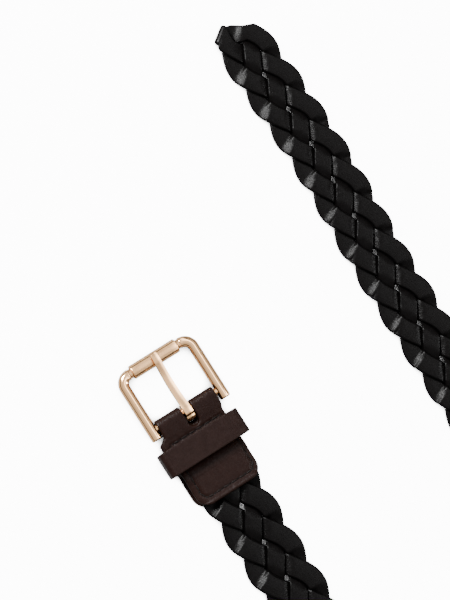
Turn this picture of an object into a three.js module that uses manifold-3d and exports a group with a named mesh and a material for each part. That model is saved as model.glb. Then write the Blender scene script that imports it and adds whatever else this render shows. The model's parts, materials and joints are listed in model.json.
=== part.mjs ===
import * as THREE from 'three';
import { mergeVertices } from 'three/addons/utils/BufferGeometryUtils.js';
import Module from 'manifold-3d';

const wasm = await Module();
wasm.setup();

// All sizes in millimetres, +Z up. X runs along the belt from the buckle towards the bend,
// and X = 0 is the outer edge of the tab's fold until the finished group is centred.

// Common clearance between parts that lie against each other.
const GAP = 0.3;

// Laces and their four-strand weave. One lace needs four pitches for a full swing to both edges.
const LACE_WIDTH = 7.6;
const LACE_THICK = 1.9;
const LIFT = (LACE_THICK + GAP) / 2;
const BRAID_HALF_THICK = LIFT + LACE_THICK / 2;
const PITCH = 18.1;
const CYCLE = 4 * PITCH;
const HALF_CYCLE = 2 * PITCH;
const SWING = 8.35;
const SWING_THIRD_SHARE = 0.04;
const SKEW = 0.12;
const SPREAD_AT_TAB = 1.16;
const SPREAD_AT_TIP = 1.05;
const TIP_NARROWING = 0.14;
const TIP_NARROWING_LENGTH = 25;
const TURN_STATIONS = 4;

// Lie of the belt: flat beside the buckle, on edge through the bend, flat again to the tip.
const BRAID_Y = -2;
const BRAID_START_X = 31.5;
const BEND_RADIUS = 54.2;
const TWIST_START_X = 112;
const TWIST_LENGTH = 170;
const VALLEY_X = 50.2;
const TIP_X = -119.8;
const PITCHES_TO_TIP = 51;
const SWAY = 3;
const SWAY_START_X = 10;
const SWAY_LENGTH = 190;

// Folded tab, its slot, and the pocket that holds the start of the braid.
const TAB_THICK = 1.4;
const TAB_WIDTH = 30.8;
const FOLD_LEFT_Y = -14.7;
const FOLD_RIGHT_Y = 14.2;
const TAB_END_X = 43;
const TAB_WIDE_X = 10.6;
const TAB_FLARE = 2.2;
const TAB_CORNER = 6;
const BACK_LEAF_SHIFT = -0.8;
const SLOT_WIDTH = 5;
const SLOT_END_X = 10.9;
const BACK_SLOT_END_X = 9.4;
const BACK_LEAF_CLEARANCE = 0.4;
const POCKET_START_X = 30;
const LEAVES_PART_X = 25.6;
const RAISE_EASE_LENGTH = 32;

// Buckle: a bar inside the fold, legs beside it, and a top bar under the roller.
const BAR_RADIUS = 1.5;
const BAR_FIT = 0.25;
const FOLD_OUTER_RADIUS = BAR_RADIUS + BAR_FIT + TAB_THICK;
const BAR_X = FOLD_OUTER_RADIUS;
const BAR_Z = FOLD_OUTER_RADIUS;
const BUCKLE_GAP = 30;
const BUCKLE_LENGTH = 25.7;
const LEG_RADIUS = 2.35;
const LEG_TAIL = 4.45;
const LEG_Y = BUCKLE_GAP / 2 + LEG_RADIUS;
const LEG_END_X = BAR_X + LEG_TAIL;
const LEG_CHAMFER = 0.5;
const ROLLER_X = BAR_X - BUCKLE_LENGTH;
const ROLLER_RADIUS = BAR_Z;
const ROLLER_LENGTH = 22.6;
const ROLLER_CHAMFER = 0.35;
const TOP_BAR_RADIUS = 1.9;
const COLLAR_RADIUS = 2.1;
const COLLAR_LENGTH = 1.1;
const BUCKLE_CORNER = 4.2;

// Prong: a closed eye on the bar with a curl behind it, and a sagging shank that ends over the
// roller.
const EYE_BORE = BAR_RADIUS + GAP;
const EYE_RADIUS = 3.05;
const PRONG_BASE_WIDTH = 3.7;
const PRONG_TIP_WIDTH = 3.0;
const PRONG_THICK = 1.9;
const PRONG_SAG = 2.9;
const PRONG_BLOCK_REACH = 2.75;
const PRONG_BEVEL = 1.3;
const PRONG_TIP_REACH = 2.65;
const CURL_REACH = 4.9;
const PRONG_TIP_X = ROLLER_X - PRONG_TIP_REACH;
const PRONG_SEAT_Z = BAR_Z + ROLLER_RADIUS + GAP;

// Keeper loop round the tab, with room above it for the free end.
const KEEPER_WALL = 1.5;
const KEEPER_X = 13.4;
const KEEPER_LENGTH = 11.5;
const KEEPER_WIDTH = 39.4;
const KEEPER_HEIGHT = 11.5;
const KEEPER_CORNER = 3;

// Heights of the tab's two leaves at their mid-planes.
const BACK_LEAF_Z = KEEPER_WALL + BACK_LEAF_CLEARANCE + TAB_THICK / 2;
const TOP_LEAF_Z = BACK_LEAF_Z + TAB_THICK + GAP;
const POCKET_BACK_Z = TAB_THICK / 2;
const POCKET_CENTRE_Z = TAB_THICK + GAP + BRAID_HALF_THICK;
const POCKET_TOP_Z = POCKET_CENTRE_Z + BRAID_HALF_THICK + GAP + TAB_THICK / 2;

const smooth = (t) => THREE.MathUtils.smoothstep(t, 0, 1);
const lerp = THREE.MathUtils.lerp;

// Closed surface through a list of rings with equal corner counts, capped at both ends.
function loft(rings) {
  const n = rings[0].length;
  const points = rings.flat();
  const index = [];
  for (let i = 0; i + 1 < rings.length; i++) {
    for (let q = 0; q < n; q++) {
      const a = i * n + q;
      const b = i * n + ((q + 1) % n);
      const c = a + n;
      const d = b + n;
      if (points[a].distanceTo(points[d]) < points[b].distanceTo(points[c])) {
        index.push(a, b, d, a, d, c);
      } else {
        index.push(a, b, c, b, d, c);
      }
    }
  }
  const last = (rings.length - 1) * n;
  for (let q = 1; q + 1 < n; q++) {
    index.push(0, q + 1, q, last, last + q, last + q + 1);
  }
  const geometry = new THREE.BufferGeometry().setFromPoints(points);
  geometry.setIndex(index);
  return geometry;
}

// Straight prism of an outline drawn in plan (x, y), from z0 up to z1.
function planPrism(shape, z0, z1) {
  const options = { depth: z1 - z0, bevelEnabled: false, curveSegments: 8 };
  return new THREE.ExtrudeGeometry(shape, options).translate(0, 0, z0);
}

// Straight prism of an outline drawn from the side (x, z), centred on y.
function sidePrism(shape, width, y = 0) {
  const options = { depth: width, bevelEnabled: false, curveSegments: 8 };
  const geometry = new THREE.ExtrudeGeometry(shape, options);
  return geometry.translate(0, 0, -width / 2).rotateX(Math.PI / 2).translate(0, y, 0);
}

function toSolid(geometry) {
  const bare = new THREE.BufferGeometry();
  bare.setAttribute('position', geometry.getAttribute('position'));
  bare.setIndex(geometry.getIndex());
  const merged = mergeVertices(bare, 1e-4);
  const vertProperties = new Float32Array(merged.getAttribute('position').array);
  const triVerts = new Uint32Array(merged.getIndex().array);
  return new wasm.Manifold(new wasm.Mesh({ numProp: 3, vertProperties, triVerts }));
}

function fromSolid(solid) {
  const mesh = solid.getMesh();
  const geometry = new THREE.BufferGeometry();
  const positions = new Float32Array(mesh.vertProperties);
  geometry.setAttribute('position', new THREE.BufferAttribute(positions, 3));
  geometry.setIndex(new THREE.BufferAttribute(new Uint32Array(mesh.triVerts), 1));
  return geometry;
}

// Where the two straights end, so that a whole number of pitches joins valley and tip.
const BEND_LENGTH = Math.PI * BEND_RADIUS;
const BEND_X = (PITCHES_TO_TIP * PITCH - BEND_LENGTH + VALLEY_X + TIP_X) / 2;
const FIRST_STRAIGHT = BEND_X - BRAID_START_X;
const TIP_S = FIRST_STRAIGHT + BEND_LENGTH + BEND_X - TIP_X;

function spread(s) {
  const along = lerp(SPREAD_AT_TAB, SPREAD_AT_TIP, THREE.MathUtils.clamp(s / TIP_S, 0, 1));
  const end = smooth((s - TIP_S + TIP_NARROWING_LENGTH) / TIP_NARROWING_LENGTH);
  return along * (1 - TIP_NARROWING * end);
}

// Centre, across direction and face direction of the braid at arc length s.
function frameAt(s) {
  const past = s - FIRST_STRAIGHT;
  let x = BRAID_START_X + s;
  let y = BRAID_Y;
  let heading = 0;
  let raise = 0;
  if (past < 0) {
    const lifted = POCKET_CENTRE_Z - BRAID_HALF_THICK;
    raise = lifted * (1 - smooth((x - TAB_END_X) / RAISE_EASE_LENGTH));
  } else if (past < BEND_LENGTH) {
    heading = past / BEND_RADIUS;
    x = BEND_X + BEND_RADIUS * Math.sin(heading);
    y = BRAID_Y + BEND_RADIUS * (1 - Math.cos(heading));
  } else {
    x = BEND_X - (past - BEND_LENGTH);
    const q = Math.max(0, (SWAY_START_X - x) / SWAY_LENGTH) * Math.PI;
    y = BRAID_Y + 2 * BEND_RADIUS + SWAY * Math.sin(q) ** 2;
    heading = Math.PI - Math.atan(SWAY * Math.sin(2 * q) * Math.PI / SWAY_LENGTH);
  }
  const twist = (Math.PI / 2) * smooth((Math.min(x, BEND_X) - TWIST_START_X) / TWIST_LENGTH);
  const left = new THREE.Vector3(-Math.sin(heading), Math.cos(heading), 0);
  const up = new THREE.Vector3(0, 0, 1);
  const across = left.clone().multiplyScalar(Math.cos(twist)).addScaledVector(up, Math.sin(twist));
  const face = left.clone().multiplyScalar(-Math.sin(twist)).addScaledVector(up, Math.cos(twist));
  const halfWidth = (SWING + LACE_WIDTH / 2) * spread(s);
  const z = BRAID_HALF_THICK * Math.cos(twist) + halfWidth * Math.sin(twist) + raise;
  return { centre: new THREE.Vector3(x, y, z), across, face };
}

// Lateral position of a lace's centreline at its own cycle coordinate c, and its slope.
const TURN = (2 * Math.PI) / CYCLE;
function swing(c) {
  const first = 1 - SWING_THIRD_SHARE;
  return SWING * (first * Math.cos(TURN * c) + SWING_THIRD_SHARE * Math.cos(3 * TURN * c));
}
function swingSlope(c) {
  const first = 1 - SWING_THIRD_SHARE;
  const third = 3 * SWING_THIRD_SHARE;
  return -SWING * TURN * (first * Math.sin(TURN * c) + third * Math.sin(3 * TURN * c));
}

// Lateral position of a lace's edge (side 1 or -1) at cycle coordinate c.
function edge(side, c) {
  let u = c;
  for (let i = 0; i < 40; i++) {
    const slope = swingSlope(u);
    u = c + (side * LACE_WIDTH * slope) / 2 / Math.hypot(1, slope);
  }
  return swing(u) + (side * LACE_WIDTH) / 2 / Math.hypot(1, swingSlope(u));
}

// Half the length, along the belt, of the diamond where two laces cross at c.
function crossingReach(c) {
  let low = 0;
  let high = PITCH;
  for (let i = 0; i < 50; i++) {
    const mid = (low + high) / 2;
    if (edge(1, c + mid) > edge(-1, c - mid)) low = mid;
    else high = mid;
  }
  return low;
}

// Stations of one falling half swing: two at each crossing, then those round the outer turn.
// "from" is the edge on the side the lace leaves, "toward" the edge on the side it goes to.
const REACH = [1, 2, 3].map((j) => crossingReach((j * PITCH) / 2));
const HALF_STATIONS = [];
for (let j = 1; j <= 3; j++) {
  const c = (j * PITCH) / 2;
  const lift = j === 2 ? LIFT : -LIFT;
  HALF_STATIONS.push({ from: c, toward: c - REACH[j - 1], lift });
  HALF_STATIONS.push({ from: c + REACH[j - 1], toward: c, lift });
}
for (let i = 1; i <= TURN_STATIONS; i++) {
  const t = i / (TURN_STATIONS + 1);
  const outer = [1.5 * PITCH, 2.5 * PITCH];
  HALF_STATIONS.push({
    from: lerp(outer[0] + REACH[2], outer[1] - REACH[0], t),
    toward: lerp(outer[0], outer[1], t),
    lift: lerp(-LIFT, LIFT, t),
  });
}

// One corner pair of a lace's section: upper and lower point at arc length s, offset x, height z.
function corner(s, x, z) {
  const at = frameAt(s - SKEW * x);
  const mid = at.centre.clone().addScaledVector(at.across, spread(s) * x).addScaledVector(at.face, z);
  const half = at.face.clone().multiplyScalar(LACE_THICK / 2);
  return [mid.clone().add(half), mid.clone().sub(half)];
}

// The same at the tip, from a point given in lace widths: beyond the last outer crossing, and
// across.
function tipCorner([beyond, sideways], z) {
  const x = sideways * LACE_WIDTH;
  const at = frameAt(TIP_S + beyond * LACE_WIDTH);
  const mid = at.centre.clone().addScaledVector(at.across, x).addScaledVector(at.face, z);
  const half = at.face.clone().multiplyScalar(LACE_THICK / 2);
  return [mid.clone().add(half), mid.clone().sub(half)];
}

const ring = (plus, minus) => [plus[0], minus[0], minus[1], plus[1]];
const flipped = (pair) => [pair[1], pair[0]];

// Rings of one strand from inside the tab up to station number `last` of half swing `half`.
function weave(phase, half, last) {
  const rings = [];
  const shift = TIP_S - PITCH / 2 - phase * CYCLE;
  const first = Math.floor(-TIP_S / HALF_CYCLE) - 3;
  for (let n = first; n <= half; n++) {
    const falling = n % 2 === 0;
    HALF_STATIONS.forEach((station, i) => {
      if (n === half && i > last) return;
      const plus = (falling ? station.from : station.toward) + n * HALF_CYCLE;
      const minus = (falling ? station.toward : station.from) + n * HALF_CYCLE;
      const lift = falling ? station.lift : -station.lift;
      if (Math.min(plus, minus) + shift < 0) return;
      rings.push(ring(
        corner(plus + shift, edge(1, plus), lift),
        corner(minus + shift, edge(-1, minus), lift),
      ));
    });
  }
  return rings;
}

// Ring that ends a lace under the one crossing above it at the tip.
function hiddenEnd(phase, crossing, plusShare, minusShare) {
  const shift = TIP_S - PITCH / 2 - phase * CYCLE;
  const c = (crossing * PITCH) / 2;
  const reach = REACH[crossing - 1];
  const plus = c + plusShare * reach;
  const minus = c - minusShare * reach;
  return ring(
    corner(plus + shift, edge(1, plus), -LIFT),
    corner(minus + shift, edge(-1, minus), -LIFT),
  );
}

// Tip: the lace that closes the end runs over, dips under itself, folds and comes back on top.
// Points are in lace widths.
const CLOSE_OVER = { plus: [0.04, -0.09], minus: [0.43, -0.55] };
const CLOSE_DIP = { plus: [0.08, 0.0], minus: [0.83, -0.23] };
const CLOSE_UNDER = { plus: [0.12, 0.09], minus: [0.96, 0.01] };
const FOLD_LINE = { plus: [0.55, 0.99], minus: [1.03, 0.105] };
const RETURN_TOP = { plus: [0.0, 1.05], minus: [0.33, 0.12] };

function tipRing(station, z, turned = false) {
  const plus = tipCorner(station.plus, z);
  const minus = tipCorner(station.minus, z);
  return turned ? ring(flipped(plus), flipped(minus)) : ring(plus, minus);
}

// Ring of the fold at an angle from flat below (0) to flat above (pi).
function foldRing(angle) {
  const run = [FOLD_LINE.minus[0] - FOLD_LINE.plus[0], FOLD_LINE.minus[1] - FOLD_LINE.plus[1]];
  const length = Math.hypot(run[0], run[1]);
  const out = [-run[1] / length, run[0] / length];
  const pair = ([beyond, sideways]) => [1, -1].map((side) => {
    const away = LIFT - (side * LACE_THICK) / 2;
    const reach = away * Math.sin(angle);
    const at = frameAt(TIP_S + beyond * LACE_WIDTH + out[0] * reach);
    return at.centre.clone()
      .addScaledVector(at.across, sideways * LACE_WIDTH + out[1] * reach)
      .addScaledVector(at.face, -away * Math.cos(angle));
  });
  return ring(pair(FOLD_LINE.plus), pair(FOLD_LINE.minus));
}

function loopedLace() {
  const out = weave(0.5, 1, 1);
  out[out.length - 1] = tipRing(CLOSE_OVER, LIFT);
  const back = weave(0.75, 1, 4).reverse().map((r) => [r[3], r[2], r[1], r[0]]);
  return loft([
    ...out,
    tipRing(CLOSE_DIP, -0.1 * LIFT),
    tipRing(CLOSE_UNDER, -LIFT),
    ...[0, 1, 2, 3, 4].map((i) => foldRing((i * Math.PI) / 4)),
    tipRing(RETURN_TOP, LIFT, true),
    ...back,
  ]);
}

function leftLace() {
  return loft([...weave(0, 0, 0), hiddenEnd(0, 1, 0.05, 0.5)]);
}

function rightLace() {
  return loft([...weave(0.25, 0, 4), hiddenEnd(0.25, 3, 0.03, 0.5)]);
}

// Side outline of a strip of even thickness along a list of (x, z) points.
function stripShape(path, thickness) {
  const offset = (side) => path.map(([x, z], i) => {
    const before = path[Math.max(0, i - 1)];
    const after = path[Math.min(path.length - 1, i + 1)];
    const d1 = new THREE.Vector2(x - before[0], z - before[1]).normalize();
    const d2 = new THREE.Vector2(after[0] - x, after[1] - z).normalize();
    if (d1.lengthSq() === 0) d1.copy(d2);
    if (d2.lengthSq() === 0) d2.copy(d1);
    const mean = d1.clone().add(d2).normalize();
    const reach = (side * thickness) / 2 / Math.max(0.5, mean.dot(d1));
    return new THREE.Vector2(x - mean.y * reach, z + mean.x * reach);
  });
  return new THREE.Shape([...offset(1), ...offset(-1).reverse()]);
}

// Plan outline of one leaf: narrow at the fold, wide behind it, with rounded end corners.
function leafShape(shiftY) {
  const left = BRAID_Y + shiftY - TAB_WIDTH / 2;
  const right = BRAID_Y + shiftY + TAB_WIDTH / 2;
  const shape = new THREE.Shape();
  shape.moveTo(-TAB_CORNER, FOLD_LEFT_Y);
  shape.lineTo(TAB_WIDE_X - TAB_FLARE, FOLD_LEFT_Y);
  shape.lineTo(TAB_WIDE_X, left);
  shape.lineTo(TAB_END_X - TAB_CORNER, left);
  shape.absarc(TAB_END_X - TAB_CORNER, left + TAB_CORNER, TAB_CORNER, -Math.PI / 2, 0, false);
  shape.absarc(TAB_END_X - TAB_CORNER, right - TAB_CORNER, TAB_CORNER, 0, Math.PI / 2, false);
  shape.lineTo(TAB_WIDE_X, right);
  shape.lineTo(TAB_WIDE_X - TAB_FLARE, FOLD_RIGHT_Y);
  shape.lineTo(-TAB_CORNER, FOLD_RIGHT_Y);
  return shape;
}

// Cutter for the prong's slot in one leaf, from in front of the fold to a round end.
function slotCut(endX, z0, z1) {
  const slot = new THREE.Shape();
  const roundX = endX - SLOT_WIDTH / 2;
  slot.moveTo(-TAB_CORNER, -SLOT_WIDTH / 2);
  slot.lineTo(roundX, -SLOT_WIDTH / 2);
  slot.absarc(roundX, 0, SLOT_WIDTH / 2, -Math.PI / 2, Math.PI / 2, false);
  slot.lineTo(-TAB_CORNER, SLOT_WIDTH / 2);
  return toSolid(planPrism(slot, z0, z1));
}

function tab() {
  const path = [
    [TAB_END_X + 2, POCKET_TOP_Z],
    [POCKET_START_X, POCKET_TOP_Z],
    [LEAVES_PART_X, TOP_LEAF_Z],
    [TAB_WIDE_X, TOP_LEAF_Z],
  ];
  const foldRadius = FOLD_OUTER_RADIUS - TAB_THICK / 2;
  for (let i = 0; i <= 10; i++) {
    const angle = Math.PI / 2 - 0.14 + (i / 10) * (Math.PI + 0.28 - 0.07);
    path.push([BAR_X + foldRadius * Math.cos(angle), BAR_Z + foldRadius * Math.sin(angle)]);
  }
  path.push([TAB_WIDE_X, BACK_LEAF_Z], [LEAVES_PART_X, BACK_LEAF_Z]);
  path.push([POCKET_START_X, POCKET_BACK_Z], [TAB_END_X + 2, POCKET_BACK_Z]);
  const strip = toSolid(sidePrism(stripShape(path, TAB_THICK), 2 * TAB_WIDTH));
  const partZ = (TOP_LEAF_Z + BACK_LEAF_Z) / 2;
  const top = toSolid(planPrism(leafShape(0), partZ, 3 * partZ));
  const back = toSolid(planPrism(leafShape(BACK_LEAF_SHIFT), -partZ, partZ));
  const cut = slotCut(SLOT_END_X, partZ, 4 * partZ).add(slotCut(BACK_SLOT_END_X, -partZ, partZ));
  return fromSolid(strip.intersect(top.add(back)).subtract(cut));
}

// Rounded rectangle round (y, z) = (0, height / 2), used for both faces of the keeper's wall.
function roundedPath(shape, width, z0, z1, radius) {
  const y = width / 2 - radius;
  shape.absarc(y, z0 + radius, radius, -Math.PI / 2, 0, false);
  shape.absarc(y, z1 - radius, radius, 0, Math.PI / 2, false);
  shape.absarc(-y, z1 - radius, radius, Math.PI / 2, Math.PI, false);
  shape.absarc(-y, z0 + radius, radius, Math.PI, 1.5 * Math.PI, false);
  return shape;
}

function keeper() {
  const shape = roundedPath(new THREE.Shape(), KEEPER_WIDTH, 0, KEEPER_HEIGHT, KEEPER_CORNER);
  const inside = roundedPath(
    new THREE.Path(),
    KEEPER_WIDTH - 2 * KEEPER_WALL,
    KEEPER_WALL,
    KEEPER_HEIGHT - KEEPER_WALL,
    KEEPER_CORNER - KEEPER_WALL,
  );
  shape.holes.push(inside);
  const options = { depth: KEEPER_LENGTH, bevelEnabled: false, curveSegments: 5 };
  const ringGeometry = new THREE.ExtrudeGeometry(shape, options);
  return ringGeometry.rotateX(Math.PI / 2).rotateZ(Math.PI / 2).translate(KEEPER_X, BRAID_Y, 0);
}

// Round tube along plan points { x, y, heading, r } at the bar's height.
function tube(stations, sides = 24) {
  return loft(stations.map(({ x, y, heading, r }) => {
    const points = [];
    for (let i = 0; i < sides; i++) {
      const a = (i / sides) * 2 * Math.PI;
      const sideways = r * Math.cos(a);
      points.push(new THREE.Vector3(
        x - Math.sin(heading) * sideways,
        y + Math.cos(heading) * sideways,
        BAR_Z + r * Math.sin(a),
      ));
    }
    return points;
  }));
}

function buckleFrame() {
  const half = [
    { x: LEG_END_X, y: -LEG_Y, heading: Math.PI, r: LEG_RADIUS - LEG_CHAMFER },
    { x: LEG_END_X - LEG_CHAMFER, y: -LEG_Y, heading: Math.PI, r: LEG_RADIUS },
  ];
  for (let i = 0; i <= 6; i++) {
    const a = (i / 6) * (Math.PI / 2);
    half.push({
      x: ROLLER_X + BUCKLE_CORNER * (1 - Math.sin(a)),
      y: -LEG_Y + BUCKLE_CORNER * (1 - Math.cos(a)),
      heading: Math.PI - a,
      r: LEG_RADIUS,
    });
  }
  const collar = ROLLER_LENGTH / 2 + GAP;
  const heading = Math.PI / 2;
  half.push({ x: ROLLER_X, y: -collar - COLLAR_LENGTH, heading, r: COLLAR_RADIUS });
  half.push({ x: ROLLER_X, y: -collar, heading, r: COLLAR_RADIUS });
  half.push({ x: ROLLER_X, y: -collar, heading, r: TOP_BAR_RADIUS });
  const mirrored = half.toReversed().map((s) => ({ ...s, y: -s.y, heading: Math.PI - s.heading }));
  const loop = toSolid(tube([...half, ...mirrored]));
  const bar = new THREE.CylinderGeometry(BAR_RADIUS, BAR_RADIUS, 2 * LEG_Y, 24);
  return fromSolid(loop.add(toSolid(bar.translate(BAR_X, 0, BAR_Z))));
}

function roller() {
  const inner = TOP_BAR_RADIUS + GAP;
  const end = ROLLER_LENGTH / 2;
  const profile = [
    [inner, -end],
    [ROLLER_RADIUS - ROLLER_CHAMFER, -end],
    [ROLLER_RADIUS, -end + ROLLER_CHAMFER],
    [ROLLER_RADIUS, end - ROLLER_CHAMFER],
    [ROLLER_RADIUS - ROLLER_CHAMFER, end],
    [inner, end],
    [inner, -end],
  ].map(([r, y]) => new THREE.Vector2(r, y));
  return new THREE.LatheGeometry(profile, 32).translate(ROLLER_X, 0, BAR_Z);
}

// Points along one face of the prong's shank, sagging between the roller and the bar. Share 0
// is over the bar and 1 where the shank has risen onto the roller.
const SHANK_STEPS = 6;
const SHANK_END_X = ROLLER_X + ROLLER_RADIUS / 2;
function shankLine(zAtBar, zAtRoller, startX) {
  const line = [];
  for (let i = 0; i <= SHANK_STEPS; i++) {
    const t = i / SHANK_STEPS;
    const sag = PRONG_SAG * Math.sin(Math.PI * t);
    line.push([lerp(startX, SHANK_END_X, t), lerp(zAtBar, zAtRoller, t) - sag]);
  }
  return line;
}

// Prong outline from the side, with the eye's bore as a hole, then narrowed towards its tip.
function prong() {
  const topZ = PRONG_SEAT_Z + PRONG_THICK;
  const blockX = BAR_X + PRONG_BLOCK_REACH;
  const curlX = BAR_X + CURL_REACH;
  const shape = new THREE.Shape();
  shape.moveTo(curlX, BAR_Z - 0.3 * EYE_RADIUS);
  shape.lineTo(curlX, BAR_Z + 0.3 * EYE_RADIUS);
  shape.lineTo(blockX + PRONG_BEVEL / 2, BAR_Z + 0.8 * EYE_RADIUS);
  shape.lineTo(blockX, PRONG_SEAT_Z);
  shape.lineTo(blockX - PRONG_BEVEL, topZ - PRONG_THICK / 2);
  shankLine(topZ - PRONG_THICK / 2, topZ, BAR_X).forEach(([x, z]) => shape.lineTo(x, z));
  shape.lineTo(PRONG_TIP_X + 0.75 * PRONG_THICK, topZ - 0.13 * PRONG_THICK);
  shape.lineTo(PRONG_TIP_X + 0.2 * PRONG_THICK, topZ - 0.37 * PRONG_THICK);
  shape.lineTo(PRONG_TIP_X, topZ - 0.63 * PRONG_THICK);
  shape.lineTo(PRONG_TIP_X + 0.26 * PRONG_THICK, PRONG_SEAT_Z);
  const eyeFront = 0.62 * Math.PI;
  const frontX = BAR_X + EYE_RADIUS * Math.cos(eyeFront);
  const frontZ = BAR_Z + EYE_RADIUS * Math.sin(eyeFront);
  const under = shankLine(frontZ, PRONG_SEAT_Z, frontX).reverse();
  under.slice(0, -1).forEach(([x, z]) => shape.lineTo(x, z));
  shape.lineTo(frontX, frontZ);
  shape.absarc(BAR_X, BAR_Z, EYE_RADIUS, eyeFront, 1.6 * Math.PI, false);
  shape.holes.push(new THREE.Path().absarc(BAR_X, BAR_Z, EYE_BORE, 0, 2 * Math.PI, true));
  const geometry = sidePrism(shape, 1);
  const position = geometry.getAttribute('position');
  for (let i = 0; i < position.count; i++) {
    const x = position.getX(i);
    const share = THREE.MathUtils.clamp((BAR_X - x) / (BAR_X - PRONG_TIP_X), 0, 1);
    const inTip = (x - PRONG_TIP_X) / PRONG_THICK;
    const round = Math.sqrt(THREE.MathUtils.clamp((inTip + 0.26) / 0.84, 0, 1));
    position.setY(i, position.getY(i) * lerp(PRONG_BASE_WIDTH, PRONG_TIP_WIDTH, share) * round);
  }
  return geometry;
}

const LEATHER = { color: 0x2a2626, roughness: 0.5, metalness: 0 };
const TAB_LEATHER = { color: 0x352b29, roughness: 0.62, metalness: 0 };
const ROSE_GOLD = { color: 0xe0bc98, roughness: 0.16, metalness: 1 };

const group = new THREE.Group();
function addPart(name, geometry, look) {
  const mesh = new THREE.Mesh(geometry, new THREE.MeshStandardMaterial(look));
  mesh.name = name;
  mesh.geometry.computeVertexNormals();
  group.add(mesh);
}

addPart('lace_looped', loopedLace(), LEATHER);
addPart('lace_left', leftLace(), LEATHER);
addPart('lace_right', rightLace(), LEATHER);
addPart('tab', tab(), TAB_LEATHER);
addPart('keeper', keeper(), TAB_LEATHER);
addPart('buckle_frame', buckleFrame(), ROSE_GOLD);
addPart('roller', roller(), ROSE_GOLD);
addPart('prong', prong(), ROSE_GOLD);

// The origin is the centre of the footprint, at floor height.
const box = new THREE.Box3().setFromObject(group, true);
const centre = box.getCenter(new THREE.Vector3());
for (const mesh of group.children) {
  mesh.geometry.translate(-centre.x, -centre.y, -box.min.z);
}

export default group;
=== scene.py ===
import json
import math

import bmesh
import bpy
from mathutils import Matrix, Vector


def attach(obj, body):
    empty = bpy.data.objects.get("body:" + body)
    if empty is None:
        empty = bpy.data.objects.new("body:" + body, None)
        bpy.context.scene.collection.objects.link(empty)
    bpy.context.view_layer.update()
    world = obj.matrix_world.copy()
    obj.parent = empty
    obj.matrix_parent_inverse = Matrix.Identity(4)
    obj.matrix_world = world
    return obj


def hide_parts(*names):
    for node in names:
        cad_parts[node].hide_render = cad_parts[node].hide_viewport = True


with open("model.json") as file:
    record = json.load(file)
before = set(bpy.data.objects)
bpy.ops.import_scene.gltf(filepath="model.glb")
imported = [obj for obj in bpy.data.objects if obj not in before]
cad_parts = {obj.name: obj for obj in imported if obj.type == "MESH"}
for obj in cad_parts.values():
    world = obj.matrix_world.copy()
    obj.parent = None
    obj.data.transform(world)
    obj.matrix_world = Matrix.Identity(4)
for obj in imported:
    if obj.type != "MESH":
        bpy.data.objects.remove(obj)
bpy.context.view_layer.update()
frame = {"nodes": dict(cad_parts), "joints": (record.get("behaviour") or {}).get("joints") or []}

# The view. The belt lies on a white table and is looked at almost straight down, the
# buckle at the lower left and both lengths running off to the lower right. The bar inside
# the fold is the point from which every piece is placed.
bar_joint = next(joint for joint in frame["joints"] if joint["name"] == "buckle_hinge")
bar = Vector(bar_joint["pos_m"])
bar_x = 3.15


def belt_point(x_mm, y_mm, z_mm):
    """A place on the belt, from the outer edge of the fold, as metres in the frame."""
    return Vector((bar.x + (x_mm - bar_x) / 1000, bar.y + y_mm / 1000, z_mm / 1000))


def belt_place(co):
    """The reverse of belt_point: a place in the frame as millimetres on the belt."""
    return (co.x - bar.x) * 1000 + bar_x, (co.y - bar.y) * 1000, co.z * 1000


view_centre = belt_point(-27.9, 39.9, 2.0)
lean = math.radians(11)
lean_way = Vector((0.21, -0.977, 0)).normalized()
camera_distance = 1.5
picture_height = 0.257
toward_camera = (lean_way * math.sin(lean) + Vector((0, 0, math.cos(lean)))).normalized()
picture_up = Vector((-0.8413, 0.5406, 0))
picture_up = (picture_up - toward_camera * picture_up.dot(toward_camera)).normalized()
picture_right = picture_up.cross(toward_camera)
camera_data = bpy.data.cameras.new("camera")
camera_data.lens = camera_data.sensor_width * camera_distance / picture_height
camera_data.clip_start = 0.01
camera = bpy.data.objects.new("camera", camera_data)
bpy.context.scene.collection.objects.link(camera)
turn = Matrix((picture_right, picture_up, toward_camera)).transposed().to_4x4()
camera.matrix_world = Matrix.Translation(view_centre + toward_camera * camera_distance) @ turn
bpy.context.scene.camera = camera

# The table top. A sheet of matt white paper, wide enough for every view. To the camera it
# glows evenly, as an overlit backdrop does, and deep in the belt's gaps its glow is dimmed
# as painted shade.
def piece_from(build, name):
    """The built mesh as an object of the scene."""
    mesh = bpy.data.meshes.new(name)
    build.to_mesh(mesh)
    build.free()
    piece = bpy.data.objects.new(name, mesh)
    bpy.context.scene.collection.objects.link(piece)
    return piece


table_build = bmesh.new()
bmesh.ops.create_grid(table_build, x_segments=1, y_segments=1, size=4)
table_top = piece_from(table_build, "table_top")
table_paper = bpy.data.materials.new("table_paper")
table_paper.use_nodes = True
paper_nodes, paper_links = table_paper.node_tree.nodes, table_paper.node_tree.links
paper = paper_nodes["Principled BSDF"]
paper.inputs["Base Color"].default_value = (0.20, 0.20, 0.20, 1)
paper.inputs["Roughness"].default_value = 0.9
paper.inputs["Emission Color"].default_value = (1, 1, 1, 1)
paper_light = paper_nodes.new("ShaderNodeLightPath")
# Painted shade: the glow fades where ambient occlusion finds the belt close around, so its gaps
# read dark.
paper_gap = paper_nodes.new("ShaderNodeAmbientOcclusion")
paper_gap.samples = 8
paper_gap.inputs["Distance"].default_value = 0.006
paper_open = paper_nodes.new("ShaderNodeMapRange")
paper_open.inputs["From Min"].default_value = 0.33
paper_open.inputs["From Max"].default_value = 0.60
paper_open.inputs["To Max"].default_value = 12.0
paper_glow = paper_nodes.new("ShaderNodeMath")
paper_glow.operation = "MULTIPLY"
paper_links.new(paper_gap.outputs["AO"], paper_open.inputs["Value"])
paper_links.new(paper_open.outputs["Result"], paper_glow.inputs[1])
paper_links.new(paper_light.outputs["Is Camera Ray"], paper_glow.inputs[0])
paper_links.new(paper_glow.outputs[0], paper.inputs["Emission Strength"])
table_top.data.materials.append(table_paper)

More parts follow.
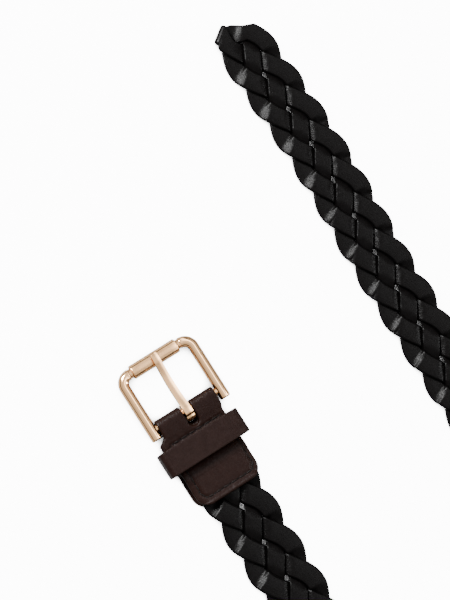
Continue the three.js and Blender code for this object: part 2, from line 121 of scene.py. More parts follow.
# The light. A studio sky, bright overhead and dark at the horizon, with a white panel and a
# black flag to one side that draw the lines on the metal. A softbox lights the leather from
# the upper left, and a dim strip from the right.
world = bpy.data.worlds.new("studio")
world.use_nodes = True
bpy.context.scene.world = world
sky_nodes, sky_links = world.node_tree.nodes, world.node_tree.links
sky_way = sky_nodes.new("ShaderNodeTexCoord")
sky_split = sky_nodes.new("ShaderNodeSeparateXYZ")
sky_ramp = sky_nodes.new("ShaderNodeValToRGB")
sky_ramp.color_ramp.elements[0].position = 0.10
sky_ramp.color_ramp.elements[0].color = (0.008, 0.007, 0.006, 1)
sky_ramp.color_ramp.elements[1].position = 0.92
sky_ramp.color_ramp.elements[1].color = (1.0, 1.0, 1.0, 1)
for height, glow in ((0.26, 0.02), (0.40, 0.62), (0.80, 0.55)):
    sky_ramp.color_ramp.elements.new(height).color = (glow, glow, glow, 1)
sky_band = sky_nodes.new("ShaderNodeValToRGB")
panel_and_flag = ((0.23, 1.0), (0.30, 6.0), (0.45, 6.0), (0.48, 0.06), (0.60, 0.06), (0.64, 1.0))
for side, glow in panel_and_flag:
    sky_band.color_ramp.elements.new(side).color = (glow, glow, glow, 1)
sky_band.color_ramp.elements[0].color = (1, 1, 1, 1)
sky_sum = sky_nodes.new("ShaderNodeMix")
sky_sum.data_type = "RGBA"
sky_sum.blend_type = "MULTIPLY"
sky_sum.inputs["Factor"].default_value = 1.0
sky_links.new(sky_way.outputs["Generated"], sky_split.inputs[0])
sky_links.new(sky_split.outputs["Z"], sky_ramp.inputs["Fac"])
sky_links.new(sky_split.outputs["Y"], sky_band.inputs["Fac"])
sky_links.new(sky_ramp.outputs["Color"], sky_sum.inputs[6])
sky_links.new(sky_band.outputs["Color"], sky_sum.inputs[7])
sky_links.new(sky_sum.outputs[2], sky_nodes["Background"].inputs["Color"])
sky_nodes["Background"].inputs["Strength"].default_value = 1.4


def studio_light(name, place, aim, width, height, power):
    """A rectangular lamp at a place, turned toward its aim."""
    data = bpy.data.lights.new(name, "AREA")
    data.shape = "RECTANGLE"
    data.size = width
    data.size_y = height
    data.energy = power
    lamp = bpy.data.objects.new(name, data)
    bpy.context.scene.collection.objects.link(lamp)
    lamp.location = place
    lamp.rotation_euler = (aim - place).to_track_quat("-Z", "Y").to_euler()


left_above = view_centre - picture_right * 0.85 + picture_up * 0.55 + Vector((0, 0, 0.85))
studio_light("softbox_left", left_above, view_centre, 0.40, 0.40, 75)
right_above = view_centre + picture_right * 0.9 + picture_up * 0.10 + Vector((0, 0, 0.30))
studio_light("strip_right", right_above, view_centre, 0.12, 0.5, 7)

# The laces. Four flat strands of black leather, cut about 8 mm wide and 2 mm thick with
# soft edges, plaited flat: each passes under, over and under on its way across. Two of the
# four are one lace that is folded over at the tip, and the other two end hidden under it.
lace_width = 7.75
lace_thick = 1.9
lace_edge = 0.85
lace_press = 1.1
lace_gap = 0.12
plait_swing = 8.5
plait_pitch = 18.1
plait_cycle = 4 * plait_pitch
plait_start_x = 31.5
plait_y = -2.0
bend_radius = 54.2
twist_start_x = 112.0
twist_length = 170.0
bend_length = math.pi * bend_radius
plait_pitches, tip_x, tip_phase = 51, -119.8, 50.2
bend_x = (plait_pitches * plait_pitch - bend_length + tip_phase + tip_x) / 2
first_straight = bend_x - plait_start_x
tip_s = first_straight + bend_length + bend_x - tip_x
plait_half_thick = 2.05
spread_at_tab, spread_at_tip = 1.14, 1.06
tip_taper, tip_taper_length = 0.03, 25
raised_at_tab, level_from_x, level_length = 1.7, 43, 32
sway, sway_start_x, sway_length = 2.5, 10, 150
edge_half_width, edge_wide, edge_narrows = 12.15, 1.12, 0.09
skew_along, skew_at_tab, skew_length = 0.11, 0.07, 90
turn_late, turn_share = 0.45, 0.36


def ease(t):
    t = min(max(t, 0.0), 1.0)
    return t * t * (3 - 2 * t)


def plait_spread(s):
    """How far the plait is spread sideways at length s."""
    along = spread_at_tab + (spread_at_tip - spread_at_tab) * min(max(s / tip_s, 0), 1)
    return along * (1 - tip_taper * ease((s - tip_s + tip_taper_length) / tip_taper_length))


def plait_lie(s):
    """Centre in millimetres, direction across and direction out of the plait at length s."""
    past = s - first_straight
    x, y, heading, raised = plait_start_x + s, plait_y, 0.0, 0.0
    if past < 0:
        raised = raised_at_tab * (1 - ease((x - level_from_x) / level_length))
    elif past < bend_length:
        heading = past / bend_radius
        x = bend_x + bend_radius * math.sin(heading)
        y = plait_y + bend_radius * (1 - math.cos(heading))
    else:
        x = bend_x - (past - bend_length)
        q = max(0.0, (sway_start_x - x) / sway_length) * math.pi
        y = plait_y + 2 * bend_radius + sway * math.sin(q) ** 2
        heading = math.pi - math.atan(sway * math.sin(2 * q) * math.pi / sway_length)
    twist = math.pi / 2 * ease((min(x, bend_x) - twist_start_x) / twist_length)
    left = Vector((-math.sin(heading), math.cos(heading), 0))
    up = Vector((0, 0, 1))
    across = left * math.cos(twist) + up * math.sin(twist)
    face = up * math.cos(twist) - left * math.sin(twist)
    half_width = edge_half_width * (edge_wide - edge_narrows * min(max(s / tip_s, 0), 1))
    z = plait_half_thick * math.cos(twist) + half_width * math.sin(twist) + raised
    return Vector((x, y, z)), across, face


def lace_swing(c):
    """How far a lace's middle stands across the plait at cycle length c."""
    a = 2 * math.pi * c / plait_cycle
    return plait_swing * (0.96 * math.cos(a) + 0.04 * math.cos(3 * a))


def lace_slope(c):
    """How fast the lace's middle moves across at cycle length c."""
    a = 2 * math.pi * c / plait_cycle
    return -plait_swing * 2 * math.pi / plait_cycle * (0.96 * math.sin(a) + 0.12 * math.sin(3 * a))


def lace_depth(q):
    """Thickness of a lace at q across it: flat on top, rounded at the cut edges."""
    u = max((abs(q) - lace_width / 2) / lace_edge + 1, 0)
    return lace_thick * math.sqrt(max(1 - u * u, 0))


def lace_lift(c, x, s):
    """Height of a lace over or under the laces that it crosses on either side of this place."""
    near = round(c / (plait_pitch / 2))
    found = []
    for j in range(near - 2, near + 3):
        if j % 4 == 0:
            continue
        mirror = j * plait_pitch - c
        q = (x - lace_swing(mirror)) / math.hypot(1, lace_slope(mirror))
        found.append((max(abs(q) - lace_width / 2 + lace_press, 0.01), j))
    (gone, before), (left, after) = sorted(sorted(found)[:2], key=lambda pair: pair[1])
    t = (gone - left) / (left + gone)
    if after - before == 2:
        late = turn_late * (1 - 2 * ease((s - first_straight) / bend_length))
        t = min(max((t - late) / turn_share, -1), 1)
    t = t * (3 - t * t) / 2
    rise_before, rise_after = (1 if j % 8 in (2, 5, 7) else -1 for j in (before, after))
    return (lace_thick + lace_gap) / 2 * (rise_before * (1 - t) + rise_after * (1 + t)) / 2


around = 20
section_half = [-1, -0.985, -0.94, -0.87, -0.79, 0, 0.79, 0.87, 0.94, 0.985, 1]
section = [(u, 1) for u in section_half] + [(u, -1) for u in section_half[-2:0:-1]]


def strand_ring(phase, c, over=1):
    """The points round a lace at cycle length c. over is -1 once it has been folded."""
    shift = tip_s - plait_pitch / 2 - phase * plait_cycle
    slope = lace_slope(c)
    size = math.hypot(1, slope)
    points = []
    for across_share, side in section:
        q = across_share * lace_width / 2
        cp = c - q * slope / size
        xp = lace_swing(c) + q / size
        s = cp + shift
        skew = skew_along + skew_at_tab * (1 - ease(s / skew_length))
        centre, across, face = plait_lie(s - skew * xp)
        z = lace_lift(cp, xp, s) + over * side * lace_depth(q) / 2
        points.append(centre + across * plait_spread(s) * xp + face * z)
    return points


def tip_ring(plus, minus, plus_z, minus_z, turn_angle=0.0):
    """The points round a lace near the tip, from its two edges as (beyond, across) places."""
    run = Vector((minus[0] - plus[0], minus[1] - plus[1])).normalized()
    out = Vector((-run.y, run.x))
    points = []
    for across_share, side in section:
        t = (1 - across_share) / 2
        v = plus[0] + (minus[0] - plus[0]) * t
        x = plus[1] + (minus[1] - plus[1]) * t
        z = plus_z + (minus_z - plus_z) * t
        half = side * lace_depth(across_share * lace_width / 2) / 2
        reach = 0.0
        if turn_angle:
            away = abs(plus_z) - half
            reach = away * math.sin(turn_angle)
            z = -away * math.cos(turn_angle)
        else:
            z += half
        centre, across, face = plait_lie(tip_s + v + out.x * reach)
        points.append(centre + across * (x + out.y * reach) + face * z)
    return points


def strand_rings(phase, last_c, over=1):
    """All the rings of a lace from the tab to cycle length last_c."""
    shift = tip_s - plait_pitch / 2 - phase * plait_cycle
    step = plait_pitch / 32
    first = math.ceil((-shift + 1.5) / step)
    last = math.floor(last_c / step)
    return [strand_ring(phase, i * step, over) for i in range(first, last + 1)]


def between(ring_a, ring_b, ring_c, ring_d, steps):
    """Rings on a smooth curve from ring_b to ring_c."""
    made = []
    for i in range(1, steps):
        t = i / steps
        row = []
        for a, b, c, d in zip(ring_a, ring_b, ring_c, ring_d):
            row.append(((b * 2) + (c - a) * t + (a * 2 - b * 5 + c * 4 - d) * t ** 2
                        + (b * 3 - a - c * 3 + d) * t ** 3) / 2)
        made.append(row)
    return made


def smooth_run(keys, steps):
    """All the rings of a run through the key rings, the first and last key left out."""
    made = []
    for i in range(1, len(keys) - 2):
        made.append(keys[i])
        made += between(keys[i - 1], keys[i], keys[i + 1], keys[i + 2], steps)
    made.append(keys[-2])
    return made


def lace_piece(name, rings):
    """A closed lace through its rings, from a grid that is rolled up and welded."""
    build = bmesh.new()
    uv = build.loops.layers.uv.new("lace")
    bmesh.ops.create_grid(build, x_segments=len(rings) - 1, y_segments=around, size=0.5)
    lengths = [0.0]
    for a, b in zip(rings, rings[1:]):
        lengths.append(lengths[-1] + ((a[5] + a[15]) / 2 - (b[5] + b[15]) / 2).length / 1000)
    steps = len(rings) - 1
    for face in build.faces:
        rows = [round((v.co.y + 0.5) * around) for v in face.verts]
        for loop, row in zip(face.loops, rows):
            i = round((loop.vert.co.x + 0.5) * steps)
            loop[uv].uv = (lengths[i], section[row % around][0] * 0.5 + 0.5)
        face.smooth = True
    for v in build.verts:
        i = round((v.co.x + 0.5) * steps)
        k = round((v.co.y + 0.5) * around) % around
        v.co = belt_point(*rings[i][k])
    bmesh.ops.remove_doubles(build, verts=build.verts, dist=1e-7)
    open_edges = [e for e in build.edges if e.is_boundary]
    bmesh.ops.holes_fill(build, edges=open_edges, sides=0)
    bmesh.ops.recalc_face_normals(build, faces=build.faces)
    return piece_from(build, name)


half_pitch = plait_pitch / 2
fold_height = (lace_thick + lace_gap) / 2
going = strand_rings(0.5, 5 * half_pitch)
coming = strand_rings(0.75, 7 * half_pitch - 4.0, -1)[::-1]
fold_plus, fold_minus = (3.6, 9.3), (8.6, 1.9)
tip_keys = [
    going[-2],
    going[-1],
    tip_ring((-0.9, 0.6), (4.8, -4.7), 0.4, 0.9),
    tip_ring((0.8, 4.4), (6.5, -2.6), -fold_height, -0.3),
    tip_ring((2.2, 7.2), (8.1, -0.4), -fold_height, -fold_height),
    tip_ring(fold_plus, fold_minus, fold_height, fold_height, 0.001),
]
fold_keys = [tip_ring(fold_plus, fold_minus, fold_height, fold_height, a * math.pi / 6)
             for a in range(1, 6)]
fold_keys.append(tip_ring(fold_plus, fold_minus, fold_height, fold_height, math.pi - 0.001))
return_ring = tip_ring((0.9, 10.2), (1.4, 2.3), fold_height, fold_height, math.pi - 0.001)
looped = going[:-1] + smooth_run(tip_keys + fold_keys[:1], 8)
looped += fold_keys[:-1] + smooth_run(
    [fold_keys[-2], fold_keys[-1], return_ring, coming[0], coming[1]], 8) + coming[1:]
looped_lace = lace_piece("looped_lace", looped)
left_lace = lace_piece("left_lace", strand_rings(0.0, half_pitch + 0.6))
right_lace = lace_piece("right_lace", strand_rings(0.25, 3 * half_pitch + 0.6))


def leather_grain_group():
    """Fine leather grain: rounded cells with creases between them, and soft unevenness."""
    group = bpy.data.node_groups.new("leather_grain", "ShaderNodeTree")
    face = group.interface
    face.new_socket("Vector", in_out="INPUT", socket_type="NodeSocketVector")
    face.new_socket("Cells", in_out="INPUT", socket_type="NodeSocketFloat")
    face.new_socket("Waves", in_out="INPUT", socket_type="NodeSocketFloat")
    face.new_socket("Height", in_out="OUTPUT", socket_type="NodeSocketFloat")
    face.new_socket("Mottle", in_out="OUTPUT", socket_type="NodeSocketFloat")
    nodes, links = group.nodes, group.links
    enter = nodes.new("NodeGroupInput")
    leave = nodes.new("NodeGroupOutput")
    cells = nodes.new("ShaderNodeTexVoronoi")
    cells.feature = "DISTANCE_TO_EDGE"
    soft = nodes.new("ShaderNodeMapRange")
    soft.inputs["From Max"].default_value = 0.35
    waves = nodes.new("ShaderNodeTexNoise")
    waves.inputs["Detail"].default_value = 5
    fine = nodes.new("ShaderNodeMath")
    fine.operation = "MULTIPLY"
    fine.inputs[1].default_value = 0.45
    total = nodes.new("ShaderNodeMath")
    total.operation = "MULTIPLY_ADD"
    total.inputs[1].default_value = 1.2
    links.new(enter.outputs["Vector"], cells.inputs["Vector"])
    links.new(enter.outputs["Cells"], cells.inputs["Scale"])
    links.new(enter.outputs["Vector"], waves.inputs["Vector"])
    links.new(enter.outputs["Waves"], waves.inputs["Scale"])
    links.new(cells.outputs["Distance"], soft.inputs["Value"])
    links.new(soft.outputs["Result"], fine.inputs[0])
    links.new(waves.outputs["Fac"], total.inputs[0])
    links.new(fine.outputs[0], total.inputs[2])
    links.new(total.outputs[0], leave.inputs["Height"])
    links.new(waves.outputs["Fac"], leave.inputs["Mottle"])
    return group


leather_grain = leather_grain_group()


def leather(name, dark, light, shine, rough_low, rough_high, cells, waves, depth,
            edge_uv=False):
    """Dyed leather. shine is its polish, and edge_uv paints shade on a lace's cut edges,
    darkening the colour toward them, and draws fine streaks along it."""
    material = bpy.data.materials.new(name)
    material.use_nodes = True
    nodes, links = material.node_tree.nodes, material.node_tree.links
    shader = nodes["Principled BSDF"]
    shader.inputs["Specular IOR Level"].default_value = shine
    place = nodes.new("ShaderNodeTexCoord")
    grain = nodes.new("ShaderNodeGroup")
    grain.node_tree = leather_grain
    grain.inputs["Cells"].default_value = cells
    grain.inputs["Waves"].default_value = waves
    links.new(place.outputs["Object"], grain.inputs["Vector"])
    colour = nodes.new("ShaderNodeMix")
    colour.data_type = "RGBA"
    colour.inputs[6].default_value = (*dark, 1)
    colour.inputs[7].default_value = (*light, 1)
    links.new(grain.outputs["Mottle"], colour.inputs["Factor"])
    last_colour = colour.outputs[2]
    if edge_uv:
        # Painted shade: the colour is darkened toward a lace's cut edges, down to 0.45 at the
        # edge, where they tuck down out of the light.
        uv = nodes.new("ShaderNodeUVMap")
        uv.uv_map = "lace"
        split = nodes.new("ShaderNodeSeparateXYZ")
        rim = nodes.new("ShaderNodeMath")
        rim.operation = "PINGPONG"
        rim.inputs[1].default_value = 0.5
        ramp = nodes.new("ShaderNodeMapRange")
        ramp.inputs["From Min"].default_value = 0.01
        ramp.inputs["From Max"].default_value = 0.10
        ramp.inputs["To Min"].default_value = 0.45
        ramp.inputs["To Max"].default_value = 1.0
        shade = nodes.new("ShaderNodeMix")
        shade.data_type = "RGBA"
        shade.blend_type = "MULTIPLY"
        shade.inputs["Factor"].default_value = 1.0
        links.new(uv.outputs["UV"], split.inputs[0])
        links.new(split.outputs["Y"], rim.inputs[0])
        links.new(rim.outputs[0], ramp.inputs["Value"])
        links.new(last_colour, shade.inputs[6])
        links.new(ramp.outputs["Result"], shade.inputs[7])
        last_colour = shade.outputs[2]
        stretch = nodes.new("ShaderNodeMapping")
        stretch.inputs["Scale"].default_value = (420, 22, 1)
        streaks = nodes.new("ShaderNodeTexNoise")
        streaks.inputs["Scale"].default_value = 1.0
        streaks.inputs["Detail"].default_value = 3
        drawn = nodes.new("ShaderNodeBump")
        drawn.inputs["Strength"].default_value = 1.0
        drawn.inputs["Distance"].default_value = 0.0001
        links.new(uv.outputs["UV"], stretch.inputs["Vector"])
        links.new(stretch.outputs["Vector"], streaks.inputs["Vector"])
        links.new(streaks.outputs["Fac"], drawn.inputs["Height"])
    links.new(last_colour, shader.inputs["Base Color"])
    polish = nodes.new("ShaderNodeMapRange")
    polish.inputs["From Min"].default_value = 0.3
    polish.inputs["From Max"].default_value = 0.7
    polish.inputs["To Min"].default_value = rough_low
    polish.inputs["To Max"].default_value = rough_high
    links.new(grain.outputs["Mottle"], polish.inputs["Value"])
    links.new(polish.outputs["Result"], shader.inputs["Roughness"])
    bump = nodes.new("ShaderNodeBump")
    bump.inputs["Strength"].default_value = 0.5
    bump.inputs["Distance"].default_value = depth
    links.new(grain.outputs["Height"], bump.inputs["Height"])
    if edge_uv:
        links.new(drawn.outputs["Normal"], bump.inputs["Normal"])
    links.new(bump.outputs["Normal"], shader.inputs["Normal"])
    return material


lace_leather = leather("lace_leather", (0.0010, 0.0008, 0.0008), (0.0020, 0.0017, 0.0017),
                       0.046, 0.24, 0.34, 2400, 700, 0.00006, edge_uv=True)
for piece, node in ((looped_lace, "lace_looped"), (left_lace, "lace_left"),
                    (right_lace, "lace_right")):
    piece.data.materials.append(lace_leather)
    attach(piece, "strap")
    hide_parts(node)

# The tab. A strip of grained leather 1.4 mm thick, folded round the buckle's bar and
# stitched shut with the start of the plait between its two leaves. It has a slot where the
# prong comes through, pressed seams, and a turned end edge.
tab_leather = leather("tab_leather", (0.0042, 0.0014, 0.0009), (0.0085, 0.0034, 0.0025),
                      0.065, 0.28, 0.40, 1500, 420, 0.00024)
seam_left, seam_right, seam_end, seam_start = -14.5, 11.4, 39.5, 12.4
seam_corner = 3.5


def soft_copy(name, node, voxel, smoothing):
    """A finely meshed copy of a leather solid, its square edges worn round."""
    build = bmesh.new()
    build.from_mesh(frame["nodes"][node].data)
    bmesh.ops.remove_doubles(build, verts=build.verts, dist=1e-6)
    plain = piece_from(build, name + "_plain")
    remesh = plain.modifiers.new("fine", "REMESH")
    remesh.mode = "VOXEL"
    remesh.voxel_size = voxel
    graph = bpy.context.evaluated_depsgraph_get()
    fine = bpy.data.meshes.new_from_object(plain.evaluated_get(graph))
    bpy.data.objects.remove(plain)
    fine.name = name
    piece = bpy.data.objects.new(name, fine)
    bpy.context.scene.collection.objects.link(piece)
    build = bmesh.new()
    build.from_mesh(fine)
    for _ in range(smoothing):
        bmesh.ops.smooth_vert(build, verts=build.verts, factor=0.5,
                              use_axis_x=True, use_axis_y=True, use_axis_z=True)
    for face in build.faces:
        face.smooth = True
    build.to_mesh(fine)
    build.free()
    return piece


def seam_distance(x, y):
    """Distance in millimetres from the nearest stitched line of the tab."""
    nearest = abs(x - seam_start) if seam_left < y < seam_right else 9.0
    inner_x = seam_end - seam_corner
    if x < inner_x:
        if x > seam_start:
            nearest = min(nearest, abs(y - seam_left), abs(y - seam_right))
    elif seam_left + seam_corner < y < seam_right - seam_corner:
        nearest = min(nearest, abs(x - seam_end))
    else:
        middle = seam_left + seam_corner if y < plait_y else seam_right - seam_corner
        nearest = min(nearest, abs(math.hypot(x - inner_x, y - middle) - seam_corner))
    return nearest


tab_face, leaf_climb, climb_from_x, climb_length = 5.0, 2.5, 19.5, 9.5
solid_climb_from_x, solid_climb_length = 25.6, 4.4
slot_from_x, slot_end_x, slot_half, slot_pull = 8.6, 13, 3.0, 1.1
groove_depth, groove_width = 0.28, 0.75
ridge_x, ridge_height, ridge_width = 42.1, 0.35, 0.7


def tab_rise(x):
    """How far the upper leaf has climbed over the start of the plait."""
    return leaf_climb * ease((x - climb_from_x) / climb_length)


droop_from_x, droop_length, droop_flat, droop_width = 28, 4, 10.5, 4.9


def edge_droop(x, y):
    """How far the upper leaf sinks toward its long edges past the keeper."""
    if x <= droop_from_x:
        return 0.0
    side = max(abs(y - plait_y) - droop_flat, 0) / droop_width
    return ease(side) * ease((x - droop_from_x) / droop_length)


tab_piece = soft_copy("tab_leaves", "tab", 0.00034, 4)
for vertex in tab_piece.data.vertices:
    x, y, z = belt_place(vertex.co)
    if z < 1.9 and slot_from_x < x < slot_end_x and abs(y) < slot_half:
        pull = ease((slot_half - abs(y)) / 1.2) * ease((slot_end_x - x) / 3.4)
        vertex.co.x -= slot_pull * pull / 1000
    if z < 3.5:
        continue
    drop = groove_depth * math.exp(-(seam_distance(x, y) / groove_width) ** 2)
    drop += edge_droop(x, y)
    rise = ridge_height * math.exp(-((x - ridge_x) / ridge_width) ** 2)
    solid_climb = min(max((x - solid_climb_from_x) / solid_climb_length, 0), 1)
    rise += tab_rise(x) - leaf_climb * solid_climb
    vertex.co.z += (rise - drop) / 1000
tab_piece.data.materials.append(tab_leather)
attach(tab_piece, "strap")
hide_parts("tab")

# The stitching. Waxed thread of the leather's own brown-black, a saddle stitch about
# 3.9 mm long round three sides of the tab and across it behind the slot, each end sunk in
# its hole.
stitch_pitch = 3.85
stitch_thread = 0.62


def tab_top(x, y):
    """Height of the upper leaf's face along the seams."""
    return tab_face + tab_rise(x) - edge_droop(x, y) - 0.2


def seam_places(points, pitch):
    """Middle and direction of each stitch along a line of points."""
    places, carry = [], pitch / 2
    for (x0, y0), (x1, y1) in zip(points, points[1:]):
        length = math.hypot(x1 - x0, y1 - y0)
        while carry < length:
            t = carry / length
            places.append((x0 + (x1 - x0) * t, y0 + (y1 - y0) * t, math.atan2(y1 - y0, x1 - x0)))
            carry += pitch
        carry -= length
    return places


round_seam = [(seam_start, seam_left)]
for i in range(9):
    a = -math.pi / 2 + i * math.pi / 16
    round_seam.append((seam_end - seam_corner + seam_corner * math.cos(a),
                       seam_left + seam_corner + seam_corner * math.sin(a)))
for i in range(9):
    a = i * math.pi / 16
    round_seam.append((seam_end - seam_corner + seam_corner * math.cos(a),
                       seam_right - seam_corner + seam_corner * math.sin(a)))
round_seam.append((seam_start, seam_right))
cross_seam = [(seam_start, seam_left + 1.5), (seam_start, seam_right - 1.0)]
stitches = seam_places(round_seam, stitch_pitch) + seam_places(cross_seam, stitch_pitch)
stitch_build = bmesh.new()
for x, y, heading in stitches:
    made = bmesh.ops.create_uvsphere(stitch_build, u_segments=8, v_segments=7, radius=0.001)
    tilt = math.atan2(tab_top(x + 0.5, y) - tab_top(x - 0.5, y), 1.0)
    bmesh.ops.scale(stitch_build, verts=made["verts"],
                    vec=(stitch_pitch * 0.40, stitch_thread * 0.62, stitch_thread * 0.5))
    bmesh.ops.rotate(stitch_build, verts=made["verts"],
                     matrix=Matrix.Rotation(-tilt * math.cos(heading), 3, "Y"))
    bmesh.ops.rotate(stitch_build, verts=made["verts"], matrix=Matrix.Rotation(heading, 3, "Z"))
    bmesh.ops.translate(stitch_build, verts=made["verts"],
                        vec=belt_point(x, y, tab_top(x, y) + 0.06))
for face in stitch_build.faces:
    face.smooth = True
stitching = piece_from(stitch_build, "stitching")
thread = leather("waxed_thread", (0.002, 0.0012, 0.001), (0.006, 0.004, 0.0035),
                 0.07, 0.38, 0.5, 5200, 2600, 0.00008)
stitching.data.materials.append(thread)
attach(stitching, "strap")

# The stitch holes. Small dimples in the leather at both ends of every stitch, where
# the thread goes down through the upper leaf, coloured near-black as painted shade in the holes.
hole_build = bmesh.new()
for x, y, heading in stitches:
    for end in (-0.5, 0.5):
        hx = x + math.cos(heading) * stitch_pitch * end
        hy = y + math.sin(heading) * stitch_pitch * end
        made = bmesh.ops.create_uvsphere(hole_build, u_segments=8, v_segments=5, radius=0.00042)
        bmesh.ops.scale(hole_build, verts=made["verts"], vec=(1, 1, 0.25))
        bmesh.ops.translate(hole_build, verts=made["verts"],
                            vec=belt_point(hx, hy, tab_top(hx, hy) - 0.02))
for face in hole_build.faces:
    face.smooth = True
stitch_holes = piece_from(hole_build, "stitch_holes")
# Painted shade: the dimples are coloured near-black for the shade inside the holes.
hole_painted_shade = leather("stitch_hole_painted_shade", (0.001, 0.001, 0.001), (0.003, 0.0025, 0.002),
                    0.1, 0.8, 0.9, 2000, 900, 0.00002)
stitch_holes.data.materials.append(hole_painted_shade)
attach(stitch_holes, "strap")

# The keeper. A band of the same leather bent into a flat loop round the tab, creased
# where it turns down at each side.
keeper_leather = leather("keeper_leather", (0.0048, 0.0019, 0.0014), (0.0090, 0.0040, 0.0032),
                         0.06, 0.34, 0.46, 1500, 420, 0.00026)
keeper_piece = soft_copy("keeper_band", "keeper", 0.00030, 3)
keeper_top, keeper_half, keeper_sag, crease_depth = 9.5, 19.7, 0.35, 0.22
for vertex in keeper_piece.data.vertices:
    x, y, z = belt_place(vertex.co)
    y -= plait_y
    if z > keeper_top:
        crease = math.exp(-((abs(y) - 16.1) / 0.5) ** 2)
        crease += 0.6 * math.exp(-((abs(y) - 14.6) / 0.6) ** 2)
        sag = keeper_sag * (1 - (y / keeper_half) ** 2)
        vertex.co.z -= (crease_depth * crease + sag) / 1000
keeper_piece.data.materials.append(keeper_leather)
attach(keeper_piece, "strap")
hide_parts("keeper")

# The buckle. One wire of 4.7 mm, bent to a U with its bar fixed across the legs and
# its far side turned down to carry the roller. Plated rose gold and polished, with fine
# wiping marks.
def rose_gold(name, rough, wipe):
    """Polished plating. wipe stretches the fine marks along the way it was wiped."""
    material = bpy.data.materials.new(name)
    material.use_nodes = True
    nodes, links = material.node_tree.nodes, material.node_tree.links
    shader = nodes["Principled BSDF"]
    shader.inputs["Metallic"].default_value = 1.0
    place = nodes.new("ShaderNodeTexCoord")
    cloud = nodes.new("ShaderNodeTexNoise")
    cloud.inputs["Scale"].default_value = 160
    cloud.inputs["Detail"].default_value = 6
    stretch = nodes.new("ShaderNodeMapping")
    stretch.inputs["Scale"].default_value = wipe
    lines = nodes.new("ShaderNodeTexNoise")
    lines.inputs["Scale"].default_value = 900
    colour = nodes.new("ShaderNodeMix")
    colour.data_type = "RGBA"
    colour.inputs[6].default_value = (1.0, 0.55, 0.25, 1)
    colour.inputs[7].default_value = (1.0, 0.62, 0.31, 1)
    polish = nodes.new("ShaderNodeMapRange")
    polish.inputs["To Min"].default_value = rough
    polish.inputs["To Max"].default_value = rough + 0.1
    bump = nodes.new("ShaderNodeBump")
    bump.inputs["Strength"].default_value = 0.10
    bump.inputs["Distance"].default_value = 0.00002
    links.new(place.outputs["Object"], cloud.inputs["Vector"])
    links.new(place.outputs["Object"], stretch.inputs["Vector"])
    links.new(stretch.outputs["Vector"], lines.inputs["Vector"])
    links.new(cloud.outputs["Fac"], colour.inputs["Factor"])
    links.new(colour.outputs[2], shader.inputs["Base Color"])
    links.new(cloud.outputs["Fac"], polish.inputs["Value"])
    links.new(polish.outputs["Result"], shader.inputs["Roughness"])
    links.new(lines.outputs["Fac"], bump.inputs["Height"])
    links.new(bump.outputs["Normal"], shader.inputs["Normal"])
    return material


bar_height = bar.z * 1000
roller_x = bar_x - 25.7
wire_radius, leg_y, corner_radius = 2.35, 17.35, 4.2
wire_stations = [(7.6, -leg_y, math.pi, 1.80), (7.5, -leg_y, math.pi, 2.05),
                 (7.3, -leg_y, math.pi, 2.24), (7.0, -leg_y, math.pi, wire_radius),
                 (-4.0, -leg_y, math.pi, wire_radius)]
for i in range(17):
    a = i / 16 * math.pi / 2
    wire_stations.append((roller_x + corner_radius * (1 - math.sin(a)),
                          -leg_y + corner_radius * (1 - math.cos(a)), math.pi - a, wire_radius))
wire_stations += [(roller_x, -12.9, math.pi / 2, 2.33), (roller_x, -12.75, math.pi / 2, 2.22),
                  (roller_x, -12.65, math.pi / 2, 2.08), (roller_x, -11.7, math.pi / 2, 2.08),
                  (roller_x, -11.6, math.pi / 2, 1.9)]
wire_stations += [(x, -y, math.pi - a, r) for x, y, a, r in wire_stations[::-1]]


def wire_matrix(x, y, heading, radius):
    """Where a round section of the wire stands, how it faces and how wide it is."""
    place = Matrix.Translation(belt_point(x, y, bar_height))
    return place @ Matrix.Rotation(heading, 4, "Z") @ Matrix.Rotation(math.pi / 2, 4, "Y") \
        @ Matrix.Scale(radius / 1000, 4)


def add_wire(build, stations, sides):
    """A round wire through its stations, closed at both ends."""
    ring = bmesh.ops.create_circle(build, segments=sides, radius=1.0)["verts"]
    bmesh.ops.transform(build, verts=ring, matrix=wire_matrix(*stations[0]))
    edges = list({edge for v in ring for edge in v.link_edges})
    bmesh.ops.contextual_create(build, geom=edges)
    for here, there in zip(stations, stations[1:]):
        grown = bmesh.ops.extrude_edge_only(build, edges=edges)["geom"]
        edges = [g for g in grown if isinstance(g, bmesh.types.BMEdge)]
        moved = [g for g in grown if isinstance(g, bmesh.types.BMVert)]
        step = wire_matrix(*there) @ wire_matrix(*here).inverted()
        bmesh.ops.transform(build, verts=moved, matrix=step)
    bmesh.ops.contextual_create(build, geom=edges)


def finished(name, build, sharp=math.radians(32)):
    """The built mesh as an object, smooth but for its sharp edges."""
    bmesh.ops.recalc_face_normals(build, faces=build.faces)
    for face in build.faces:
        face.smooth = True
    piece = piece_from(build, name)
    piece.data.set_sharp_from_angle(angle=sharp)
    return piece


buckle_build = bmesh.new()
add_wire(buckle_build, wire_stations, 48)
add_wire(buckle_build, [(bar_x, y, math.pi / 2, 1.5) for y in (-16.5, 16.5)], 32)
buckle_wire = finished("buckle_wire", buckle_build)
buckle_wire.data.materials.append(rose_gold("rose_gold_wire", 0.10, (1.0, 1.0, 1.0)))
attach(buckle_wire, "frame")
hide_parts("buckle_frame")

